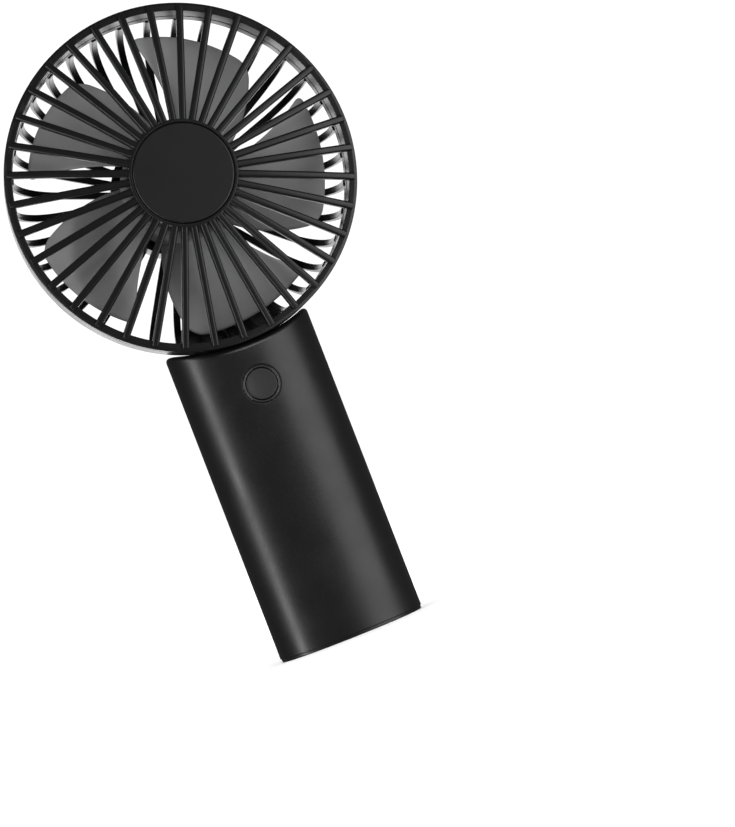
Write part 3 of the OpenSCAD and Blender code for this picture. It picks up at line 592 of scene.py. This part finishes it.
def rear_guard():
    band_in = RING_IN - 0.1
    band_front = FACE_Y + RING_T + 0.1
    step = SKIRT_END + 0.1
    band = lathe(rounded([
        (SKIRT_R + 0.1, band_front, 0),
        (RING_R, band_front, 0.15),
        (RING_R, BAND_END, 0.5),
        (band_in, BAND_END, 0.3),
        (band_in, step, 0.2),
        (SKIRT_R + 0.1, step, 0),
    ]))
    plate = GUARD_BACK - REAR_RIB_T
    rim = GUARD_BACK - REAR_RIM_H
    rim_in = REAR_HUB_R - REAR_RIM_T
    hub = lathe(rounded([
        (0, plate, 0),
        (rim_in, plate, 0.3),
        (rim_in, rim, 0.2),
        (REAR_HUB_R, rim, 0.3),
        (REAR_HUB_R, GUARD_BACK, 0.4),
        (0, GUARD_BACK, 0),
    ]))
    ribs = Shell().turned(rear_rib, RIB_COUNT)
    neck = block((-NECK_HALF_W, NECK_FRONT, NECK_END_Z), (NECK_HALF_W, NECK_BACK, AXIS_Z - RING_R + 1.5))
    bore = rod_y(band_in, FACE_Y, GUARD_BACK + 1, steps=TURN_STEPS)
    outer = rod_y(REAR_RIB_R, BAND_END, GUARD_BACK + 1, steps=TURN_STEPS)
    trough_end = AXIS_Z - REAR_RIB_R + REAR_BEND_R
    hub_edge = AXIS_Z - REAR_HUB_R
    half_w, half_channel = 3.4, 2.6
    trough = block((-half_w, plate - 2.2, trough_end), (half_w, plate + 0.4, hub_edge + 0.5))
    channel = block((-half_channel, plate - 3.2, trough_end - 1), (half_channel, plate - 0.5, hub_edge + 3.2))
    flange_end = corners("motor_base")[1].y
    boss_r, boss_hole_r = 2.2, 0.8
    bosses = [rod_y(boss_r, flange_end, plate + 0.4, x, z, 48) for x, z in MOTOR_SCREWS]
    lead_holes = joined(*[
        rod_z(LEAD_HOLE_R, AXIS_Z - 50, AXIS_Z - 44, x, LEAD_HOLE_Y) for x in (-LEAD_X, LEAD_X)
    ])
    boss_holes = [rod_y(boss_hole_r, flange_end - 1, flange_end + 3, x, z, 32) for x, z in MOTOR_SCREWS]
    neck_holes = [rod_y(CLEARANCE_R, FACE_Y, GUARD_BACK, x, z, 32) for x, z in UPPER_SCREWS]
    mesh = carved(
        neck,
        ("DIFFERENCE", bore),
        ("DIFFERENCE", outer),
        ("UNION", joined(band, hub)),
        ("UNION", ribs),
        ("UNION", rear_panel()),
        ("DIFFERENCE", lead_holes),
        ("UNION", trough),
        ("UNION", joined(*bosses)),
        ("DIFFERENCE", joined(*boss_holes)),
        ("DIFFERENCE", channel),
        ("DIFFERENCE", joined(*neck_holes)),
    )
    return new_piece("rear_guard_moulding", mesh, "housing", "black_plastic",
                     ["rear_band", "rear_ribs", "rear_panel", "rear_hub"])


# ---- Impeller ----

def mix(a, b, t):
    return a + (b - a) * t


def corner_drop(s, radius):
    return 0 if s >= radius else radius - math.sqrt(radius ** 2 - (radius - s) ** 2)


TIP_FROM, TIP_TO = 1.6, 50.4
ROOT_FROM, ROOT_TO = 15.4, 74.0
TIP_FRONT, TIP_BACK = 7.8, 22.6
ROOT_FRONT, ROOT_BACK = 6.0, 19.6
CORNER_FROM, CORNER_TO = 2.2, 3.5
BLADE_T = 1.3
ROOT_R = HUB_R - 0.7


def blade_tip(u):
    length = TIP_R * math.radians(TIP_TO - TIP_FROM)
    return TIP_R - corner_drop(u * length, CORNER_FROM) - corner_drop((1 - u) * length, CORNER_TO)


def blade_point(t, u, lift, turn):
    """Point of a blade: t runs from the hub to the tip and u from the front edge to the back edge."""
    r = mix(ROOT_R, blade_tip(u), t)
    span = (r - ROOT_R) / (TIP_R - ROOT_R)
    angle = math.radians(mix(mix(ROOT_FROM, TIP_FROM, span), mix(ROOT_TO, TIP_TO, span), u))
    depth = mix(mix(ROOT_FRONT, TIP_FRONT, span), mix(ROOT_BACK, TIP_BACK, span), u)
    return on_axis(r, FACE_Y + depth + BLADE_T / 2 + lift, turn + angle)


def blade(turn):
    """Closed rows round one blade: each row is a loop through front and back faces at one radius."""
    rows, columns = 26, 36
    edge_share = 0.035
    loops = []
    for i in range(rows + 1):
        t = math.sin(math.pi / 2 * i / rows)
        near_tip = min(1, (1 - t) / edge_share)
        loop = []
        for direction in (1, -1):
            for j in range(columns + 1):
                u = (1 - math.cos(math.pi * j / columns)) / 2
                u = u if direction > 0 else 1 - u
                near_edge = min(1, min(u, 1 - u) / edge_share)
                thickness = math.sqrt(max(0, 1 - (1 - near_edge) ** 2))
                thickness *= math.sqrt(max(0, 1 - (1 - near_tip) ** 2))
                half = BLADE_T / 2 * (0.04 + 0.96 * thickness)
                loop.append(blade_point(t, u, -half * direction, turn))
        loops.append(loop)
    return loops


def impeller():
    front = corners("impeller")[0].y
    back = FACE_Y + 21.4
    cup_back = corners("rotor_cup")[1].y
    hub = lathe(rounded([
        (0, front, 0),
        (HUB_R, front, 1.2),
        (HUB_R, back, 0.2),
        (HUB_R - 1.3, back, 0.2),
        (HUB_R - 1.3, front + 1.6, 0.5),
        (14, front + 1.6, 0),
        (14, cup_back - 1, 0.2),
        (13.01, cup_back - 1, 0.2),
        (13.01, front + 1.6, 0),
        (0, front + 1.6, 0),
    ], 5))
    blades = [blade(math.radians(360 * k / BLADE_COUNT)) for k in range(BLADE_COUNT)]
    mesh = carved(hub, *[("UNION", Shell().grid(rows, cap=True)) for rows in blades])
    return new_piece("impeller_moulding", mesh, "rotor", "grey_plastic", ["impeller"])


# ---- Handle ----

def cradle_height(x, radius):
    return AXIS_Z - math.sqrt(radius ** 2 - x ** 2)


def handle_form(inset, bottom, cradle, fillet, foot_round=0.0, columns=240):
    """Closed form of the handle: an oval column with the round seat for the head on top."""
    half_w, half_d = HANDLE_HALF_W - inset, HANDLE_HALF_D - inset
    rim = []
    for k in range(columns):
        a = 2 * math.pi * k / columns
        point = Vector((half_w * math.cos(a), half_d * math.sin(a)))
        normal = Vector((math.cos(a) / half_w, math.sin(a) / half_d)).normalized()
        rim.append((point, normal))
    rows = []
    for share in (0, 0.5, 0.85):
        rows.append([(p.x * share, p.y * share, bottom) for p, n in rim])
    for a in np.radians(np.linspace(0, 90, 7 if foot_round else 1)):
        inward = foot_round * (1 - math.sin(a))
        height = bottom + foot_round * (1 - math.cos(a))
        rows.append([(p.x - n.x * inward, p.y - n.y * inward, height) for p, n in rim])
    wall_rows = 28
    for i in range(1, wall_rows):
        share = i / wall_rows
        rows.append([
            (p.x, p.y, mix(bottom + foot_round, cradle_height(p.x, cradle) - fillet, share))
            for p, n in rim
        ])
    for a in np.radians(np.linspace(0, 90, 9 if fillet else 1)):
        inward = fillet * (1 - math.cos(a))
        drop = fillet * (1 - math.sin(a))
        rows.append([
            (p.x - n.x * inward, p.y - n.y * inward, cradle_height(p.x - n.x * inward, cradle) - drop)
            for p, n in rim
        ])
    for share in (0.94, 0.85, 0.7, 0.55, 0.4, 0.25, 0.12, 0):
        rows.append([
            ((p.x - n.x * fillet) * share, (p.y - n.y * fillet) * share,
             cradle_height((p.x - n.x * fillet) * share, cradle))
            for p, n in rim
        ])
    return Shell().grid(rows)


UPPER_SCREWS = [(-5.5, SCREWS_HIGH.z - 2), (5.5, SCREWS_HIGH.z - 2)]
LOWER_SCREWS = [(-13.8, 20.0), (13.8, 20.0)]
BOARD_SCREWS = [(-9.8, 78.5), (9.8, 78.5)]
UPPER_SEAT = HANDLE_HALF_D - WALL - 2
LOWER_SEAT = 6.4
BOARD_SEAT = -8.4
SHELF_HALF_W = 8
SHELF_LOW, SHELF_HIGH = 11.0, 12.4
PORT_W, PORT_H = 9.44, 3.7
POST_R = 2.6
LOWER_POST_R = 2.4
BOARD_POST_R = 1.8
PILOT_R = 1.0
CLEARANCE_R = 1.15
SCREW_HEAD_R = 2.2
BEYOND = 40


def counterbore(x, z, seat):
    """Screw head's recess."""
    return rod_y(SCREW_HEAD_R, seat, HANDLE_HALF_D + 1, x, z, 64)


def slot_y(width, height, start, end, z, steps=24):
    """Slot with round ends along Y."""
    half = (width - height) / 2
    outline = arc((half, 0), height / 2, -90, 90, steps) + arc((-half, 0), height / 2, 90, 270, steps)
    return Shell().grid([[(x, y, z + h) for x, h in outline] for y in (start, end)], cap=True)


def handle_half(side):
    """One half of the handle's shell: side -1 is the front and 1 the back."""
    seam, seam_depth = 0.14, 0.28
    bottom = HANDLE_LOW.z
    outer = handle_form(0, bottom, CRADLE_R, CRADLE_FILLET, 0.35)
    cavity = handle_form(WALL, bottom - 6, CRADLE_R + CRADLE_WALL, 0)
    groove_core = handle_form(seam_depth, bottom - 3, CRADLE_R + seam_depth, CRADLE_FILLET)
    trim = handle_form(WALL / 2, bottom, CRADLE_R + CRADLE_WALL / 2, 0)
    neck_slot = block((-9.2, FACE_Y + 8.3, AXIS_Z - RING_R - 4), (9.2, FACE_Y + 21.2, AXIS_Z - RING_R + 2))
    keep = block((-60, -60, -5), (60, 0, 120)) if side < 0 else block((-60, 0, -5), (60, 60, 120))

    if side < 0:
        posts = [rod_y(POST_R, -BEYOND, NECK_FRONT, x, z, 48) for x, z in UPPER_SCREWS]
        posts += [rod_y(LOWER_POST_R, -BEYOND, 0, x, z, 48) for x, z in LOWER_SCREWS]
        posts += [rod_y(BOARD_POST_R, -BEYOND, BOARD_SEAT, x, z, 48) for x, z in BOARD_SCREWS]
        bores = [rod_y(PILOT_R, -HANDLE_HALF_D + 2.6, 0.5, x, z, 32) for x, z in UPPER_SCREWS]
        bores += [rod_y(PILOT_R, LOWER_SEAT - 13, 0.5, x, z, 32) for x, z in LOWER_SCREWS]
    else:
        posts = [rod_y(POST_R, NECK_BACK, BEYOND, x, z, 48) for x, z in UPPER_SCREWS]
        posts += [rod_y(LOWER_POST_R, 0, BEYOND, x, z, 48) for x, z in LOWER_SCREWS]
        posts += [block((-SHELF_HALF_W, 0, SHELF_LOW), (SHELF_HALF_W, BEYOND, SHELF_HIGH))]
        bores = [rod_y(CLEARANCE_R, -0.5, BEYOND, x, z, 32) for x, z in UPPER_SCREWS + LOWER_SCREWS]

    inside = shell_of(carved(joined(*posts), ("INTERSECT", trim)))
    steps = [
        ("DIFFERENCE", cavity),
        ("UNION", inside),
        ("DIFFERENCE", neck_slot),
        ("INTERSECT", keep),
        ("DIFFERENCE", joined(*bores)),
    ]
    if side < 0:
        steps += button_openings()
    else:
        recesses = [counterbore(x, z, UPPER_SEAT) for x, z in UPPER_SCREWS]
        recesses += [counterbore(x, z, LOWER_SEAT) for x, z in LOWER_SCREWS]
        steps += [("DIFFERENCE", joined(*recesses))]
        middle = (USB_LOW.z + USB_HIGH.z) / 2
        steps += [("DIFFERENCE", slot_y(PORT_W, PORT_H, HANDLE_HALF_D - WALL - 1, BEYOND, middle))]
    groove = shell_of(carved(block((-60, -seam, -5), (60, seam, 120)), ("DIFFERENCE", groove_core)))
    steps += [("DIFFERENCE", groove)]
    name = "handle_front_shell" if side < 0 else "handle_rear_shell"
    return new_piece(name, carved(outer, *steps), "housing", "black_plastic",
                     ["handle_front" if side < 0 else "handle_rear"])


def shell_of(mesh):
    """Shell with the points and faces of a finished mesh."""
    shell = Shell()
    shell.points = [tuple(v.co / MM) for v in mesh.vertices]
    shell.faces = [tuple(p.vertices) for p in mesh.polygons]
    return shell


def button_openings():
    """Stepped hole for the button's ring, with its groove on the outside."""
    front = -HANDLE_HALF_D
    hole = rod_y(BEZEL_R + 0.01, front - 1, 0, 0, BUTTON_Z, 128)
    groove = lathe(rounded([
        (0, front - 1, 0),
        (BEZEL_R + 0.45, front - 1, 0),
        (BEZEL_R + 0.35, front + 0.6, 0.05),
        (0, front + 0.6, 0),
    ]), 0, BUTTON_Z, 128)
    pocket = rod_y((BEZEL_HIGH.x - BEZEL_LOW.x) / 2, front + 2.1, 0, 0, BUTTON_Z, 96)
    return [("DIFFERENCE", hole), ("DIFFERENCE", groove), ("DIFFERENCE", pocket)]


def foot_ring(inset, z, steps=240):
    """Oval loop of points inside the handle's outline."""
    return [
        ((HANDLE_HALF_W - inset) * math.cos(a), (HANDLE_HALF_D - inset) * math.sin(a), z)
        for a in np.linspace(0, 2 * math.pi, steps + 1)[:-1]
    ]


def base_cap():
    """Foot: a thin oval plate, slightly smaller than the handle, with a plug inside."""
    inset, edge_r = 0.3, 0.3
    plug_inset, plug_top = WALL + 0.15, 2.4
    top = HANDLE_LOW.z
    rows = [[(0, 0, 0)] * 240, foot_ring(4, 0)]
    for a in np.radians(np.linspace(0, 90, 5)):
        rows.append(foot_ring(inset + edge_r * (1 - math.sin(a)), edge_r * (1 - math.cos(a))))
    rows += [foot_ring(inset, top), foot_ring(plug_inset, top), foot_ring(plug_inset, plug_top)]
    rows.append([(0, 0, plug_top)] * 240)
    plate = Shell().grid(rows)
    board_posts = [rod_z(1.4, 1, 4.2, x, y) for x in (-7, 7) for y in (-5, 4)]
    clips = [block((x - 0.6, -3, 1), (x + 0.6, 3, 6)) for x in (-16.8, 16.8)]
    mesh = carved(plate, ("UNION", joined(*board_posts, *clips)))
    return new_piece("foot_cap", mesh, "housing", "black_plastic", ["base_cap"])


# ---- Button ----

BUTTON_R = 4.4
BEZEL_R = BUTTON_R + 0.95


def button_cap():
    """Round cap with a shallow dish and softened edge."""
    front = BUTTON_LOW.y
    dish_r, dish_depth = BUTTON_R - 0.45, 0.3
    ball = (dish_r ** 2 + dish_depth ** 2) / (2 * dish_depth)
    dish = [
        (r, front + dish_depth - ball + math.sqrt(ball ** 2 - r ** 2))
        for r in np.linspace(0, dish_r, 12)
    ]
    back = BUTTON_HIGH.y
    edge_r, flange_w, stem_r = 0.22, 0.5, 1.2
    flange_front, flange_back = front + 2.15, front + 2.45
    edge = arc((BUTTON_R - edge_r, front + edge_r), edge_r, -90, 0, 6)
    profile = dish + edge + [
        (BUTTON_R, flange_front),
        (BUTTON_R + flange_w, flange_front),
        (BUTTON_R + flange_w, flange_back),
        (stem_r, flange_back),
        (stem_r, back),
        (0, back),
    ]
    cap = lathe(profile, 0, BUTTON_Z, 128)
    return new_piece("button_cap", cap.mesh("button"), "button", "black_plastic", ["power_button"])


def button_ring():
    front, back = BEZEL_LOW.y, BEZEL_HIGH.y
    flange = back - 1
    flange_r = (BEZEL_HIGH.x - BEZEL_LOW.x) / 2
    inner = BUTTON_R + 0.1
    ring = lathe(rounded([
        (inner, front, 0.38),
        (BEZEL_R, front, 0.4),
        (BEZEL_R, flange, 0),
        (flange_r, flange, 0),
        (flange_r, back, 0),
        (inner + 0.6, back, 0),
        (inner + 0.6, back - 1.1, 0),
        (inner, back - 1.1, 0),
    ]), 0, BUTTON_Z, 128)
    return new_piece("button_ring", ring.mesh("ring"), "housing", "bezel_gloss", ["button_bezel"])


cap = guard_cap()
guards = [front_guard(), cap, rear_guard()]
fan_wheel = impeller()
handles = [handle_half(-1), handle_half(1)]
base_cap()
button = [button_cap(), button_ring()]


# ---- Stage, light and camera ----

BACKDROP_LIGHT = 1.1
FILL_LIGHT = 0.3
REFLECTED_LIGHT = 0.09
FLOOR_LIGHT = 3.6

def look_along(direction, up):
    """Rotation of a camera or light that looks along a direction."""
    back = -direction.normalized()
    right = up.cross(back).normalized()
    return Matrix((right, back.cross(right), back)).transposed()


def direction_at(azimuth, elevation):
    """Direction away from the fan: azimuth 0 is in front of it and 90 to its right."""
    a, e = math.radians(azimuth), math.radians(elevation)
    return Vector((math.sin(a) * math.cos(e), -math.cos(a) * math.cos(e), math.sin(e)))


def area_light(name, azimuth, elevation, distance, size, watts, target=(0, 0, 0.1)):
    data = bpy.data.lights.new(name, "AREA")
    data.shape = "RECTANGLE"
    data.size, data.size_y = size
    data.energy = watts
    lamp = bpy.data.objects.new(name, data)
    bpy.context.scene.collection.objects.link(lamp)
    away = direction_at(azimuth, elevation)
    lamp.location = Vector(target) + away * distance
    lamp.rotation_euler = look_along(-away, Vector((0, 0, 1))).to_euler()
    lamp.visible_camera = False
    return lamp


def sun(name, strength):
    """Soft even light from straight above."""
    data = bpy.data.lights.new(name, "SUN")
    data.energy = strength
    data.angle = math.radians(60)
    lamp = bpy.data.objects.new(name, data)
    bpy.context.scene.collection.objects.link(lamp)
    lamp.location = (0, 0, 1)
    return lamp


def floor():
    data = bpy.data.meshes.new("floor")
    size = 6.0
    square = [(-size, -size, 0), (size, -size, 0), (size, size, 0), (-size, size, 0)]
    data.from_pydata(square, [], [(0, 1, 2, 3)])
    plane = bpy.data.objects.new("floor", data)
    bpy.context.scene.collection.objects.link(plane)
    material, tree, shader, place = new_material("floor_white")
    shader.inputs["Base Color"].default_value = (0.95, 0.95, 0.95, 1)
    shader.inputs["Roughness"].default_value = 0.9
    shader.inputs["Specular IOR Level"].default_value = 0.1
    data.materials.append(material)
    plane.visible_glossy = False
    plane.visible_diffuse = False
    plane.visible_shadow = False
    return plane


def world():
    """White backdrop for the camera, weak fill light and dark surroundings for reflections."""
    surroundings = bpy.data.worlds.new("studio")
    bpy.context.scene.world = surroundings
    surroundings.use_nodes = True
    tree = surroundings.node_tree
    background = tree.nodes["Background"]
    path = tree.nodes.new("ShaderNodeLightPath")
    reflected = tree.nodes.new("ShaderNodeMapRange")
    reflected.inputs["To Min"].default_value = FILL_LIGHT
    reflected.inputs["To Max"].default_value = REFLECTED_LIGHT
    seen = tree.nodes.new("ShaderNodeMapRange")
    seen.inputs["To Max"].default_value = BACKDROP_LIGHT
    tree.links.new(path.outputs["Is Glossy Ray"], reflected.inputs["Value"])
    tree.links.new(path.outputs["Is Camera Ray"], seen.inputs["Value"])
    tree.links.new(reflected.outputs["Result"], seen.inputs["To Min"])
    tree.links.new(seen.outputs["Result"], background.inputs["Strength"])
    background.inputs["Color"].default_value = (1, 1, 1, 1)


def lit_only(lamp, pieces):
    """Keeps a lamp's light to some pieces."""
    group = bpy.data.collections.new(lamp.name + "_receivers")
    for piece in pieces:
        group.objects.link(piece)
    lamp.light_linking.receiver_collection = group


def camera():
    """Camera held slightly to the fan's left, a little low and rolled."""
    azimuth, elevation, roll = -9.834, -1.401, -21.21
    aim = Vector((0.0243, -0.0155, 0.0564))
    distance = 0.6521
    away = direction_at(azimuth, elevation)
    data = bpy.data.cameras.new("camera")
    data.sensor_fit = "VERTICAL"
    data.sensor_height = 24
    data.lens = 68.1
    data.clip_start = 0.01
    holder = bpy.data.objects.new("camera", data)
    bpy.context.scene.collection.objects.link(holder)
    up = Matrix.Rotation(math.radians(roll), 3, away) @ Vector((0, 0, 1))
    holder.location = aim + away * distance
    holder.rotation_euler = look_along(-away, up).to_euler()
    bpy.context.scene.camera = holder


ground = floor()
world()
area_light("side_strip", -61, -4, 0.9, (0.09, 1.3), 5, target=(0, 0, 0.05))
area_light("soft_box", 43, -6, 1.0, (0.70, 1.2), 6, target=(0, 0, 0.04))
lit_only(area_light("top_light", 15, 31, 1.0, (0.6, 0.2), 3), handles)
lit_only(area_light("button_light", -4, 8, 0.7, (0.7, 0.7), 1.2, target=(0, 0, 0.075)), button)
back_light = area_light("back_light", 176, 0, 0.5, (0.5, 0.5), 1.6, target=(0, 0, 0.12))
lit_only(back_light, guards)
blade_light = area_light("blade_light", 4, 16, 1.0, (0.5, 0.5), 5, target=(0, 0, 0.136))
lit_only(blade_light, [fan_wheel])
cap_light = area_light("cap_light", 10, 2, 1.2, (0.9, 0.9), 0.45, target=(0, 0, 0.136))
lit_only(cap_light, [cap])
lit_only(sun("floor_sun", FLOOR_LIGHT), [ground])
camera()
bpy.context.scene.view_settings.view_transform = "Standard"
